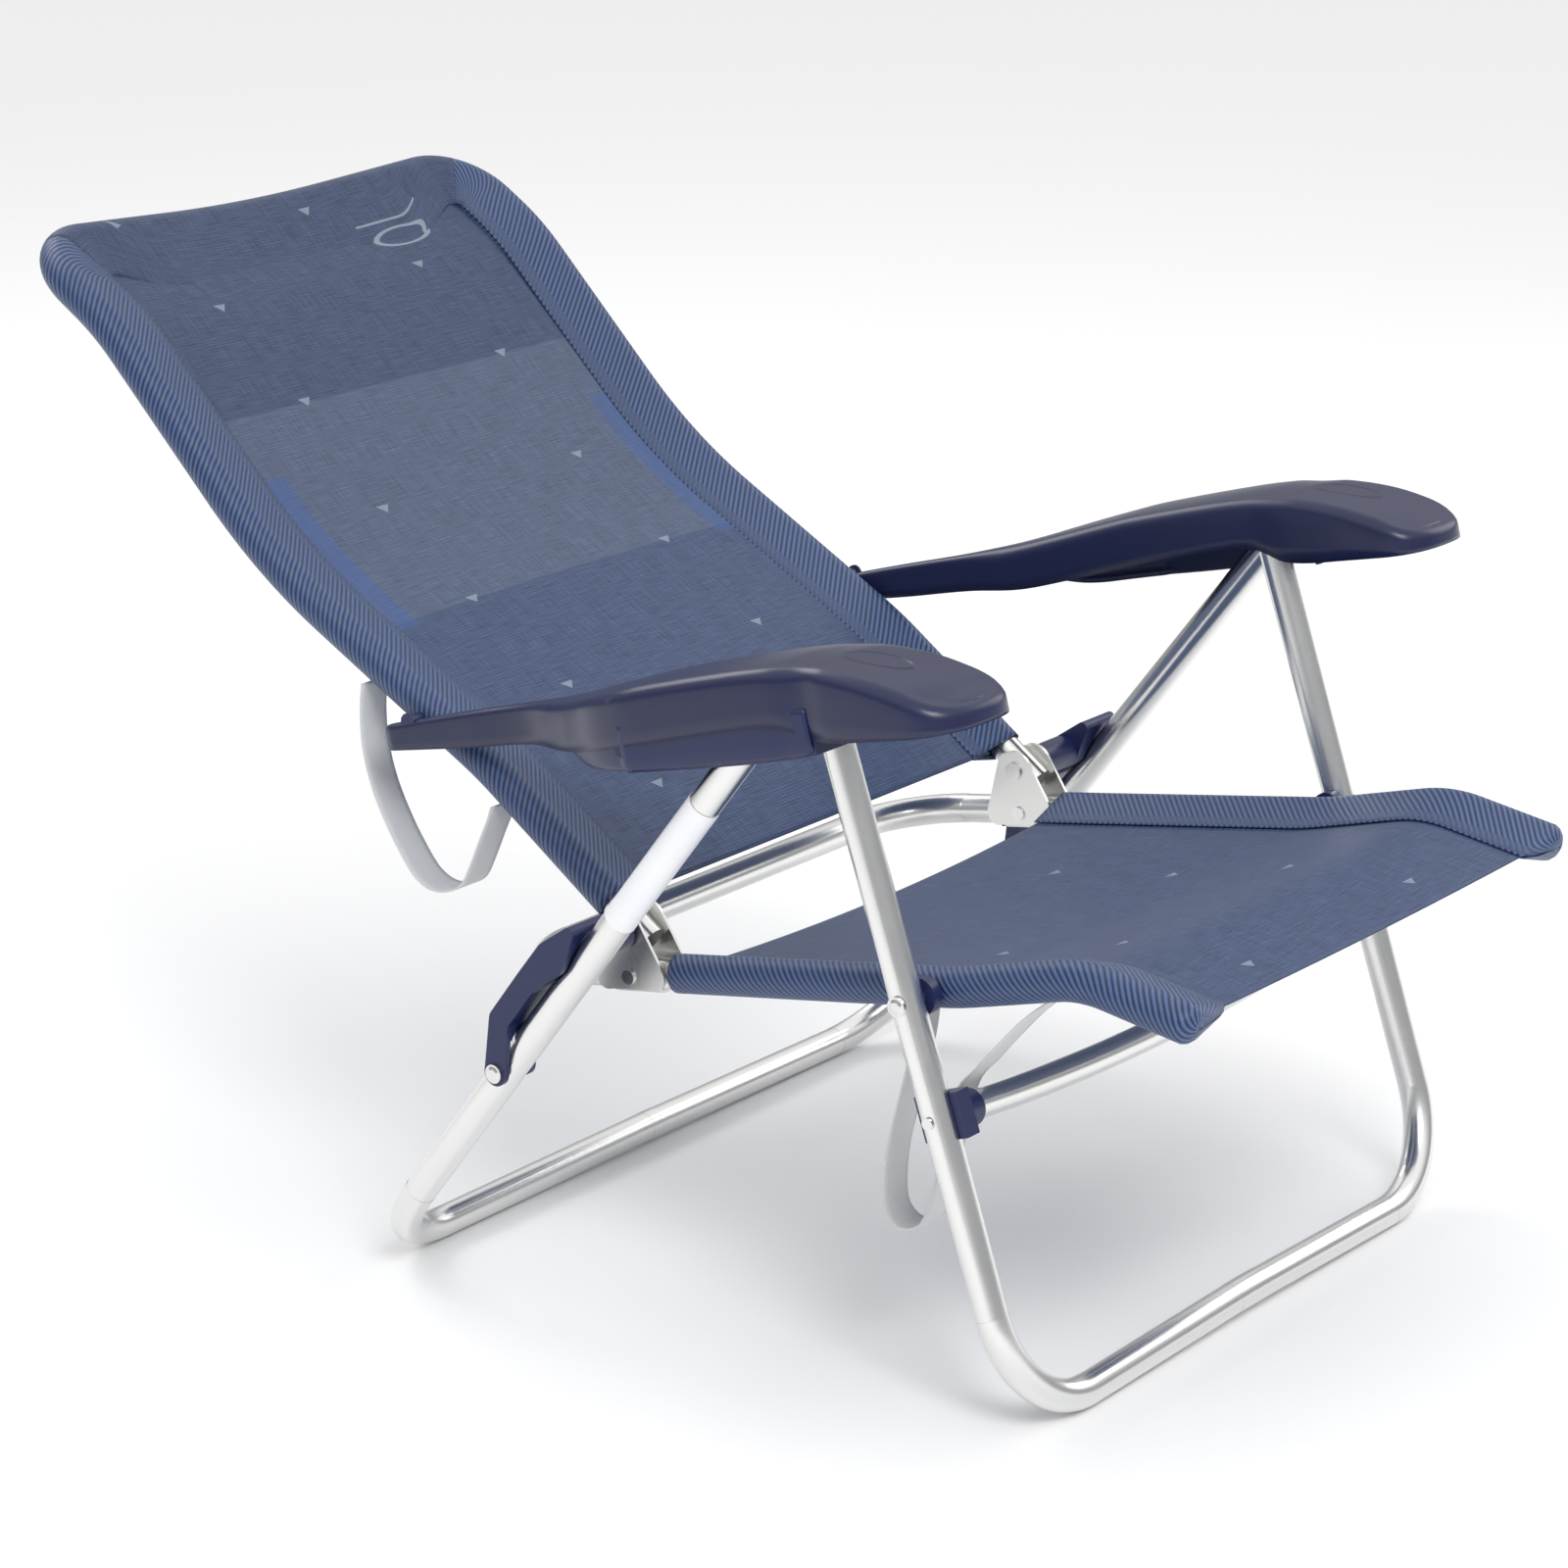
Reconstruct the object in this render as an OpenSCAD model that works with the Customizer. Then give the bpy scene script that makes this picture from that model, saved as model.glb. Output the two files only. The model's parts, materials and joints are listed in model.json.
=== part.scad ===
// Low folding beach armchair: two aluminium leg loops crossing under the armrests, a seat loop,
// a reclining back loop, sling fabrics, plastic armrests with a notch rack, and side link levers.
// +X runs across the chair, +Y to the back, +Z up. The origin is on the floor under the middle.

/* [Tubes] */
// Outside diameter of the frame tubes
tube_d = 22; // [20:0.5:22]
// Wall thickness of the frame tubes
tube_wall = 1.5; // [1:0.1:2]
// Diameter of the front cross tube
cross_d = 19; // [16:0.5:19]
// Downward bow of the front cross tube at its middle
cross_bow = 14; // [4:1:16]

/* [Legs] */
// Distance from the middle to each front leg
front_x = 260; // [259:0.5:261]
// Distance from the middle to each rear leg
rear_x = 298; // [297.5:0.5:299]
// Bend radius of the leg loops at the floor
leg_bend = 72; // [50:2:90]
// Upward arch of the front floor bar
front_arch = 5; // [1:0.5:8]
// Upward arch of the rear floor bar
rear_arch = 2; // [1:0.5:4]

/* [Seat and back] */
// Distance from the middle to the seat and back rails
rail_x = 225; // [224.5:0.5:225.5]
// Bend radius at the top corners of the back loop
head_bend = 46; // [34:2:60]
// Backward bow of the head tube at its middle
head_bow = 16; // [4:1:24]
// Thickness of the sling fabric
cloth = 1.1; // [0.8:0.1:1.4]
// Drop of the sling between its rails
sling_drop = 7; // [2:1:12]

/* [Fasteners] */
// Diameter of the pivot rivets
pin_d = 8; // [6:0.5:8]
// Running clearance round a rivet, on the radius
fit = 0.05; // [0.03:0.01:0.08]

/* [Armrests] */
// Number of notches in the recline rack
notches = 5; // [3:1:6]
// Travel of the pin from the first notch to the last
rack_travel = 119; // [100:1:119]

/* [Hidden] */
$fn = 64;

silver = [0.78, 0.79, 0.80];
navy = [0.07, 0.10, 0.24];
mesh_blue = [0.16, 0.26, 0.46];
web_grey = [0.80, 0.81, 0.83];

r = tube_d / 2;
ri = r - tube_wall;
pr = pin_d / 2;
hr = pr + fit;

// Side-view points [y, z] of the pivots
pT = [-242.7, 468];
pS = [-310.7, 274];
pH = [-63.7, 264];
pL = [-15.7, 175];
pA = [110.3, 378];
front_foot = [-401.7, 9.58];
rear_foot = [110.3, 10.51];
seat_rear = [44.3, 213];
cross_at = [-335, 202];

arm_angle = atan2(pT[1] - pA[1], pA[0] - pT[0]);
arm_len = norm(pT - pA);
rail_tilt = atan2(pS[1] - seat_rear[1], seat_rear[0] - pS[0]);

function unit(v) = v / norm(v);
function at(x, p) = [x, p[0], p[1]];
function along(p, a, d) = [p[0] + d * cos(a), p[1] + d * sin(a)];
function flip(pts) = [for (i = [len(pts) - 1:-1:0]) [-pts[i][0], pts[i][1], pts[i][2]]];

// Turn angle and tangent length at vertex i of a path with bend radii
function turn(p, i) = acos(max(-1, min(1, unit(p[i] - p[i - 1]) * unit(p[i + 1] - p[i]))));
function cut_back(p, b, i) = (i == 0 || i == len(p) - 1) ? 0 : b[i] * tan(turn(p, i) / 2);

module rod(a, b, rad) {
    d = b - a;
    translate(a)
        rotate([0, acos(d[2] / norm(d)), atan2(d[1], d[0])])
            cylinder(h = norm(d), r = rad);
}

module bend(p, b, i, rad) {
    d1 = unit(p[i] - p[i - 1]);
    d2 = unit(p[i + 1] - p[i]);
    n = unit(d2 - d1 * (d1 * d2));
    c = p[i] - d1 * cut_back(p, b, i) + n * b[i];
    w = cross(-n, d1);
    multmatrix([[-n[0], d1[0], w[0], c[0]], [-n[1], d1[1], w[1], c[1]], [-n[2], d1[2], w[2], c[2]], [0, 0, 0, 1]])
        rotate_extrude(angle = turn(p, i))
            translate([b[i], 0])
                circle(r = rad);
}

// Round bar of radius rad along the path p, bent with the radii b. The straights are 0.2 mm
// thinner than the bends and run a little way into them.
module sweep(p, b, rad) {
    m = len(p) - 1;
    for (i = [0:m - 1]) {
        d = unit(p[i + 1] - p[i]);
        rod(p[i] + d * (cut_back(p, b, i) - (i > 0 ? 0.6 : 0)),
            p[i + 1] - d * (cut_back(p, b, i + 1) - (i < m - 1 ? 0.6 : 0)), rad - 0.2);
    }
    for (i = [1:m - 1])
        bend(p, b, i, rad);
}

module tube(p, b, rad, inner) {
    difference() {
        sweep(p, b, rad);
        sweep(p, b, inner);
    }
}

// Straight bar across the chair from x0 to x1 at the side-view point p
module across(p, x0, x1, rad) {
    translate([min(x0, x1), p[0], p[1]])
        rotate([0, 90, 0])
            cylinder(h = abs(x1 - x0), r = rad);
}

// Plate in the side plane between x0 and x1, drawn in [y, z]
module side_plate(x0, x1) {
    translate([x0, 0, 0])
        rotate([90, 0, 90])
            linear_extrude(x1 - x0)
                children();
}

module both() {
    children();
    mirror([1, 0, 0])
        children();
}

module pivot(p, x0, x1, head_r, head_in, head_out) {
    across(p, x0, x1, pr);
    across(p, x0 - head_in, x0, head_r);
    across(p, x1, x1 + head_out, head_r);
    translate([x1 + head_out, p[0], p[1]])
        rotate([0, 90, 0])
            cylinder(h = 0.8, r1 = head_r * 0.8, r2 = head_r * 0.5);
}

// Leg loop: down one side, along the floor and up the other side
module leg_loop(x, foot, arch) {
    d = unit(pT - foot);
    top = [pT[0] - d[0] * 15, pT[1] - d[1] * 15];
    p = [at(-x, top), at(-x, foot), [0, foot[0], foot[1] + arch], at(x, foot), at(x, top)];
    b = [0, leg_bend, 900, leg_bend, 0];
    tube(p, b, r, ri);
}

// Flat eyes at the tops of a leg loop, each with a tang inside its tube
module leg_eyes(x, foot) {
    d = unit(pT - foot);
    color(silver)
        both()
            side_plate(x - 5, x + 5)
                difference() {
                    union() {
                        translate(pT)
                            circle(r = 12.9);
                        translate(pT)
                            rotate(-atan2(d[0], d[1]))
                                translate([-7.4, -46])
                                    square([14.8, 46]);
                    }
                    translate(pT)
                        circle(r = hr);
                }
}

module front_legs() {
    color(silver)
        difference() {
            leg_loop(front_x, front_foot, front_arch);
            across(pS, -300, 300, hr);
            both()
                across(cross_at, 200, 300, 2 + fit);
        }
}

module front_leg_eyes() {
    leg_eyes(front_x, front_foot);
}

module rear_leg_eyes() {
    leg_eyes(rear_x, rear_foot);
}

module rear_legs() {
    color(silver)
        difference() {
            leg_loop(rear_x, rear_foot, rear_arch);
            across(pL, -340, 340, hr);
        }
}

module front_cross_tube() {
    half = front_x - r - 3;
    bow_r = (half * half + cross_bow * cross_bow) / (2 * cross_bow);
    sweep_a = 2 * asin(half / bow_r);
    color(silver)
        translate([0, cross_at[0], cross_at[1] - cross_bow + bow_r])
            rotate([90, 0, 0])
                rotate([0, 0, -90 - sweep_a / 2])
                    rotate_extrude(angle = sweep_a, $fn = 1200)
                        translate([bow_r, 0])
                            difference() {
                                circle(r = cross_d / 2, $fn = 64);
                                circle(r = cross_d / 2 - 1.2, $fn = 64);
                            }
}

// Plastic saddle that seats the cross tube on the inside of a front leg
module saddle() {
    tilt = atan2(pT[0] - front_foot[0], pT[1] - front_foot[1]);
    leg = [pT[0] - front_foot[0], pT[1] - front_foot[1]];
    d = unit(leg);
    slope = asin((front_x - r - 3) / ((pow(front_x - r - 3, 2) + cross_bow * cross_bow) / (2 * cross_bow)));
    color(navy)
        difference() {
            union() {
                translate([front_x - r - 22, cross_at[0], cross_at[1] - 2.2])
                    rotate([0, 90 - slope, 0])
                        cylinder(h = 18, r = cross_d / 2 + 3);
                translate([front_x - 8.5, cross_at[0], cross_at[1]])
                    rotate([-tilt, 0, 0])
                        cube([13, 34, 30], center = true);
            }
            rod(at(front_x, cross_at - d * 60), at(front_x, cross_at + d * 60), r + 0.1);
            translate([front_x - r - 3, cross_at[0], cross_at[1]])
                rotate([0, -90 - slope, 0])
                    translate([0, 0, -0.1])
                        cylinder(h = 60, r = cross_d / 2 + 0.1);
            across(cross_at, front_x - 40, front_x + 5, 2 + fit);
        }
}

module saddle_right() {
    mirror([1, 0, 0])
        saddle();
}

module saddle_left() {
    saddle();
}

module saddle_rivets() {
    color(silver)
        both() {
            across(cross_at, front_x - r - 1, front_x + r + 0.3, 2);
            across(cross_at, front_x + r + 0.3, front_x + r + 2, 4);
        }
}

module seat_spacers() {
    color(navy)
        both()
            difference() {
                union() {
                    across(pS, rail_x + r + 0.3, front_x - r - 0.3, 9);
                    across(pS, rail_x + r + 5, front_x - r - 0.3, 12.5);
                }
                across(pS, 200, 300, hr);
            }
}

module seat_pivots() {
    color(silver)
        both()
            pivot(pS, rail_x - r - 0.3, front_x + r + 0.3, 6.5, 2, 2);
}

module top_pivots() {
    color(silver)
        both() {
            across(pT, 246, 308, pr);
            across(pT, 243.5, 246, 6.5);
            across(pT, 308, 309.6, 6.5);
        }
}

module top_washers() {
    color(navy)
        both()
            for (x = [[front_x + 5.2, front_x + 12.5], [rear_x - 12.5, rear_x - 5.2]])
                difference() {
                    across(pT, x[0], x[1], 8);
                    across(pT, x[0] - 1, x[1] + 1, hr);
                }
}

module link_pivots() {
    color(silver)
        both()
            pivot(pL, rear_x - r - 4.6, rear_x + r + 4.6, 6.5, 2, 2);
}

module leg_label() {
    d = unit([pT[0] - rear_foot[0], pT[1] - rear_foot[1]]);
    a = [rear_foot[0] + d[0] * 362, rear_foot[1] + d[1] * 362];
    color([0.93, 0.94, 0.95])
        difference() {
            rod(at(-rear_x, a), at(-rear_x, a + d * 114), r + 0.35);
            rod(at(-rear_x, a - d * 5), at(-rear_x, a + d * 120), r + 0.08);
            translate([-rear_x + 3, 0, 0])
                translate([0, -500, 0])
                    cube([60, 1000, 900]);
        }
}

// Seat side rail from its front end to the rear corner, as [y, z] points
seat_rail = [[-486.7, 291], [-416.7, 302], along(pS, 180 - rail_tilt, 13), seat_rear];
seat_bends = [0, 90, 240, 60];

// Back side rail from its lower end to the head corner, as [y, z] points
back_rail = [along(pH, 215, 14), [59.3, 351], [256.3, 460], [404.3, 608], [476.3, 653]];
back_bends = [0, 300, 430, 200, head_bend];

function side_path(p, x, upto) = [for (i = [0:upto]) at(x, p[i])];

function seat_path() = concat(side_path(seat_rail, -rail_x, 3), flip(side_path(seat_rail, -rail_x, 3)));
function seat_path_bends() = concat(seat_bends, [for (i = [3:-1:0]) seat_bends[i]]);

head_mid = [back_rail[4][0] + head_bow * 0.53, back_rail[4][1] - head_bow * 0.85];
function back_path() = concat(side_path(back_rail, -rail_x, 4), [[0, head_mid[0], head_mid[1]]],
    flip(side_path(back_rail, -rail_x, 4)));
function back_path_bends() = concat(back_bends, [1200], [for (i = [4:-1:0]) back_bends[i]]);

// Points along a bent side rail, with 5 points in each bend
function rail_points(p, b) = [for (i = [0:len(p) - 1])
    let (t = cut_back(p, b, i))
    each (t == 0 ? [p[i]] : [for (k = [0:4])
        let (d1 = unit(p[i] - p[i - 1]), d2 = unit(p[i + 1] - p[i]), a = turn(p, i) * (k + 0.2) / 4.4)
        let (n = unit(d2 - d1 * (d1 * d2)))
        p[i] - d1 * t + n * b[i] * (1 - cos(a)) + d1 * b[i] * sin(a)])];

// Thin sheet across the chair: rows follow pts, which shift along nrm by drop(k) in the middle
module sling_sheet(pts, half, drop, n) {
    m = len(pts) - 1;
    nrm = [for (i = [0:m])
        let (d = unit(pts[min(m, i + 1)] - pts[max(0, i - 1)]))
        [-d[1], d[0]] * (d[0] < 0 ? -1 : 1)];
    rows = [for (s = [1, -1]) [for (i = [0:m]) [for (j = [0:n])
        let (x = -1 + 2 * j / n, q = pts[i] + nrm[i] * (drop[i] * (1 - x * x) + s * cloth / 2))
        [x * half, q[0], q[1]]]]];
    k = (m + 1) * (n + 1);
    flat = [for (s = [0, 1]) for (i = [0:m]) for (j = [0:n]) rows[s][i][j]];
    function id(s, i, j) = s * k + i * (n + 1) + j;
    faces = concat(
        [for (i = [0:m - 1]) for (j = [0:n - 1]) for (f = [
            [id(0, i, j), id(0, i, j + 1), id(0, i + 1, j + 1)],
            [id(0, i, j), id(0, i + 1, j + 1), id(0, i + 1, j)],
            [id(1, i, j), id(1, i + 1, j + 1), id(1, i, j + 1)],
            [id(1, i, j), id(1, i + 1, j), id(1, i + 1, j + 1)]]) f],
        [for (i = [0:m - 1]) for (j = [0, n]) for (f = (j == 0)
            ? [[id(0, i, j), id(0, i + 1, j), id(1, i + 1, j)], [id(0, i, j), id(1, i + 1, j), id(1, i, j)]]
            : [[id(0, i, j), id(1, i + 1, j), id(0, i + 1, j)], [id(0, i, j), id(1, i, j), id(1, i + 1, j)]]) f],
        [for (j = [0:n - 1]) for (i = [0, m]) for (f = (i == 0)
            ? [[id(0, i, j), id(1, i, j + 1), id(0, i, j + 1)], [id(0, i, j), id(1, i, j), id(1, i, j + 1)]]
            : [[id(0, i, j), id(0, i, j + 1), id(1, i, j + 1)], [id(0, i, j), id(1, i, j + 1), id(1, i, j)]]) f]);
    polyhedron(points = flat, faces = pts[0][0] < pts[m][0] ? [for (f = faces) [f[0], f[2], f[1]]] : faces);
}

pB = along(seat_rear, 180 - rail_tilt, 114.6);

module seat_tube() {
    color(silver)
        difference() {
            tube(seat_path(), seat_path_bends(), r, ri);
            across(pS, -300, 300, hr);
            across(pB, -300, 300, 3 + fit);
        }
}

module seat_plugs() {
    d = unit(seat_rail[0] - seat_rail[1]);
    color(navy)
        both() {
            rod(at(rail_x, seat_rail[0]), at(rail_x, seat_rail[0] + d * 3), r);
            rod(at(rail_x, seat_rail[0] - d * 12), at(rail_x, seat_rail[0] + d), ri - 0.3);
        }
}

module seat_sling() {
    front = seat_rail[0] + unit(seat_rail[0] - seat_rail[1]) * 7;
    rear = along(seat_rear, 180 - rail_tilt, 147);
    p = [front, seat_rail[1], seat_rail[2], rear];
    b = [0, seat_bends[1], seat_bends[2], 0];
    pts = rail_points(p, b);
    color(mesh_blue) {
        difference() {
            union() {
                both()
                    sweep([for (q = p) at(rail_x, q)], b, r + 0.2 + cloth);
                sling_sheet([for (i = [len(pts) - 1:-1:0]) pts[i]], rail_x - r - 0.6, [for (i = [0:len(pts) - 1]) -sling_drop], 8);
            }
            both() {
                sweep([for (q = concat([front * 2 - seat_rail[1]], [for (i = [1:2]) p[i]], [rear * 2 - p[2]])) at(rail_x, q)],
                    b, r + 0.2);
                across(pS, rail_x, rail_x + 30, 13.2);
                across(pS, rail_x - 30, rail_x, 7.5);
            }
        }
    }
}

// Exact outline round two circles
module link2d(a, b, ra, rb) {
    d = norm(b - a);
    q = acos((ra - rb) / d);
    w = atan2(b[1] - a[1], b[0] - a[0]);
    translate(a)
        circle(r = ra);
    translate(b)
        circle(r = rb);
    polygon([along(a, w + q, ra), along(b, w + q, rb), along(b, w - q, rb), along(a, w - q, ra)]);
}

// Sheet-metal channel that holds the seat rail below and the back tube above
module bracket() {
    fore = along(pB, 180 - rail_tilt, 21);
    aft = along(pB, -rail_tilt, 19);
    color(silver)
        difference() {
            union() {
                for (x = [rail_x - r - 2.5, rail_x + r + 0.3])
                    side_plate(x, x + 2.2) {
                        link2d(pH, fore, 15, 9);
                        link2d(pH, aft, 15, 9);
                        link2d(fore, aft, 8.6, 8.6);
                    }
                difference() {
                    rod(at(rail_x, along(aft, 180 - rail_tilt, 1.4)), at(rail_x, along(fore, -rail_tilt, 1.4)), r + 2.2);
                    translate([rail_x, pB[0], pB[1]])
                        rotate([-rail_tilt, 0, 0])
                            translate([-30, -60, 0])
                                cube([60, 120, 30]);
                }
            }
            rod(at(rail_x, along(aft, -rail_tilt, 20)), at(rail_x, along(fore, 180 - rail_tilt, 20)), r + 0.1);
            across(pH, 150, 300, hr);
            across(pB, 150, 300, 3 + fit);
        }
}

module bracket_right() {
    mirror([1, 0, 0])
        bracket();
}

module bracket_left() {
    bracket();
}

module bracket_rivets() {
    color(silver)
        both() {
            across(pB, rail_x - r - 2.6, rail_x + r + 2.6, 3);
            across(pB, rail_x - r - 4, rail_x - r - 2.6, 5);
            across(pB, rail_x + r + 2.6, rail_x + r + 4, 5);
        }
}

module hinge_rivets() {
    color(silver)
        both() {
            across(pH, rail_x - r - 2.6, rail_x + r + 2.6, pr);
            across(pH, rail_x - r - 4.4, rail_x - r - 2.6, 6.5);
            across(pH, rail_x + r + 2.6, rail_x + r + 4.4, 6.5);
        }
}

module back_tube() {
    color(silver)
        difference() {
            tube(back_path(), back_path_bends(), r, ri);
            across(pH, -300, 300, hr);
            across(pA, -300, 300, hr);
        }
}

module back_plugs() {
    d = unit(back_rail[0] - back_rail[1]);
    color(silver)
        both()
            rod(at(rail_x, back_rail[0]), at(rail_x, back_rail[0] + d * 1.5), r);
}

module back_sling() {
    low = along(pH, 35, 21);
    p = concat([low], [for (i = [1:4]) back_rail[i]]);
    pts = rail_points([for (i = [0:4]) p[i]], [0, back_bends[1], back_bends[2], back_bends[3], 0]);
    n = len(pts) - 1;
    path = concat([for (q = p) at(-rail_x, q)], [[0, head_mid[0], head_mid[1]]], flip([for (q = p) at(-rail_x, q)]));
    b = concat([0], [for (i = [1:4]) back_bends[i]], [1200], [for (i = [4:-1:1]) back_bends[i]], [0]);
    core = concat([at(-rail_x, back_rail[0])], [for (i = [1:len(path) - 2]) path[i]], [at(rail_x, back_rail[0])]);
    color(mesh_blue)
        difference() {
            union() {
                sweep(path, b, r + 0.2 + cloth);
                sling_sheet(pts, rail_x - r - 0.6, [for (i = [0:n])
                    let (t = i / n)
                    t < 0.7 ? 5 * sin(180 * t / 0.7) : -head_bow * pow((t - 0.7) / 0.3, 1.5)], 8);
            }
            sweep(core, b, r + 0.2);
            both() {
                across(pA, rail_x, rail_x + 30, 7.5);
                across(pA, rail_x - 30, rail_x, 7.5);
            }
        }
}

module arm_rivets() {
    color(silver)
        both() {
            across(pA, rail_x - r - 2.4, rail_x + r + 13.6, pr);
            across(pA, rail_x - r - 4.2, rail_x - r - 2.4, 6);
            across(pA, rail_x + r + 13.6, rail_x + r + 15.2, 6);
        }
}

// Band of webbing along the points p, in [y, z]
module webbing(p, x0, x1, t) {
    m = len(p) - 1;
    nrm = [for (i = [0:m])
        let (d = unit(p[min(m, i + 1)] - p[max(0, i - 1)]))
        [-d[1], d[0]] * t / 2];
    side_plate(x0, x1)
        polygon(concat([for (i = [0:m]) p[i] + nrm[i]], [for (i = [m:-1:0]) p[i] - nrm[i]]));
}

module seat_strap() {
    color(web_grey)
        webbing([[-393.7, 283], [-373.7, 266], [-353.7, 244], [-337.7, 225], [-322.7, 206], [-313.7, 170],
            [-304.7, 130], [-297.7, 112], [-289.7, 105], [-278.7, 103], [-269.7, 110], [-266.7, 124],
            [-268.7, 150], [-275.7, 180], [-283.7, 210], [-289.7, 237], [-291.7, 256]],
            -rail_x, -rail_x + 26, 1.4);
}

module back_strap() {
    color(web_grey)
        webbing([[164.3, 392], [166.3, 370], [164.3, 344], [156.3, 318], [142.3, 292], [126.3, 270],
            [116.3, 261], [104.3, 257], [90.3, 259], [78.3, 266], [70.3, 280], [61.3, 300],
            [54.3, 315], [50.3, 326]],
            -rail_x - 12, -rail_x + 14, 1.4);
}

// Local frame of an armrest: +x outwards, +y forward along the arm, +z up, origin on the rear rivet
module arm_frame() {
    translate([0, pA[0], pA[1]])
        rotate([arm_angle, 0, 180])
            children();
}

// Armrest cross-sections: [distance forward, inner x, outer x, low z, high z, corner radius]
arm_sections = [
    [-18, 239, 248.4, -7, 6, 3],
    [110, 239, 252, -10, 7, 4],
    [165, 238.5, 284, -14, 9, 5],
    [215, 238, 312, -20, 14, 7],
    [290, 237, 318, -25, 20, 9],
    [arm_len, 233, 319, -27, 22, 10],
    [430, 232, 319, -27, 15, 11],
    [478, 240, 311, -24, -4, 9]];

module arm_slice(s) {
    for (x = [s[1] + s[5], s[2] - s[5]])
        for (z = [s[3] + 3, s[4] - s[5]])
            translate([x, s[0], z])
                rotate([-90, 0, 0])
                    cylinder(h = 0.5, r = z > (s[3] + s[4]) / 2 ? s[5] : 3, $fn = 24);
}

module arm_shell() {
    difference() {
        for (i = [0:len(arm_sections) - 2])
            hull() {
                arm_slice(arm_sections[i]);
                arm_slice(arm_sections[i + 1]);
            }
        translate([242, 166, -60])
            cube([70.5, 229, 63]);
        translate([242, 222, 0])
            cube([70.5, 173, 14.6]);
        rotate([0, 90, 0])
            cylinder(h = 400, r = hr);
        translate([276, 424, 14.2])
            intersection() {
                cylinder(h = 5, r = 25);
                translate([-13, -40, -1])
                    cube([26, 80, 8]);
            }
    }
}

module armrest_right() {
    color(navy)
        arm_frame()
            arm_shell();
}

module armrest_left() {
    mirror([1, 0, 0])
        armrest_right();
}

// Oval plate let into the top of the armrest
module armrest_inlay_right() {
    color([0.10, 0.14, 0.30])
        arm_frame()
            translate([276, 424, 14.2])
                intersection() {
                    cylinder(h = 0.8, r = 24.6);
                    translate([-12.6, -40, 0])
                        cube([25.2, 80, 8]);
                }
}

module armrest_inlay_left() {
    mirror([1, 0, 0])
        armrest_inlay_right();
}

// Notched rack under the outer half of the armrest
module rack() {
    step = rack_travel / (notches - 1);
    difference() {
        union() {
            translate([273.6, 232, 4.8])
                cube([11.2, 160, 9.6]);
            side_plate(310.9, 312.4)
                polygon([[232, 14.4], [232, -24], [246, -33], [262, -35.5], [392, -35.5], [392, 14.4]]);
            translate([273.6, 388.8, -35.5])
                cube([38.8, 3.2, 45.5]);
        }
        for (i = [0:notches - 1])
            translate([265, arm_len - i * step, 2.4])
                rotate([0, 90, 0])
                    cylinder(h = 30, r = 5.2);
    }
}

module rack_right() {
    color(navy)
        arm_frame()
            rack();
}

module rack_left() {
    mirror([1, 0, 0])
        rack_right();
}

// Curved lever from the rear leg up to the back hinge
module link() {
    d = unit([pT[0] - rear_foot[0], pT[1] - rear_foot[1]]);
    n = [d[1], -d[0]];
    m1 = pL + d * 32 + n * 20;
    m2 = pL + d * 70 + n * 20.5;
    tip = pH + d * 26;
    leg = [at(rear_x, pL - d * 200), at(rear_x, pL + d * 200)];
    color(navy)
        difference() {
            union() {
                side_plate(rear_x - 22, rear_x + 15.4) {
                    link2d(pL, m1, 9, 8);
                    link2d(m1, m2, 8, 8);
                    link2d(m2, pH, 8, 12);
                    link2d(pH, tip, 12, 4.2);
                }
                across(pH, rail_x + r + 4.9, rear_x - 15, 12);
            }
            across(pL, 200, 340, hr);
            across(pH, 200, rear_x - 24, 7);
            across(pL, rear_x - r - 0.5, rear_x + r + 0.5, 26);
            across(pL, 200, rear_x - 15.4, 21);
            rod(leg[0], leg[1], r + 0.6);
            translate([0, pL[0], pL[1]])
                rotate([118, 0, 0])
                    translate([0, -pL[0], -pL[1]]) {
                        rod(leg[0], leg[1], r + 0.6);
                    }
        }
}

module link_right() {
    mirror([1, 0, 0])
        link();
}

module link_left() {
    link();
}

front_legs();
front_cross_tube();
saddle_right();
saddle_left();
saddle_rivets();
seat_spacers();
seat_pivots();
front_leg_eyes();
rear_leg_eyes();
top_pivots();
top_washers();
rear_legs();
link_pivots();
leg_label();
seat_tube();
seat_sling();
seat_plugs();
bracket_right();
bracket_left();
bracket_rivets();
seat_strap();
hinge_rivets();
back_tube();
back_sling();
back_plugs();
back_strap();
arm_rivets();
armrest_right();
armrest_left();
rack_right();
rack_left();
armrest_inlay_right();
armrest_inlay_left();
link_right();
link_left();
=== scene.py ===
"""Folding beach armchair: looks of the CAD assembly, in its own frame. Metres, +Z up, +Y to the back."""

import json
import math

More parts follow.
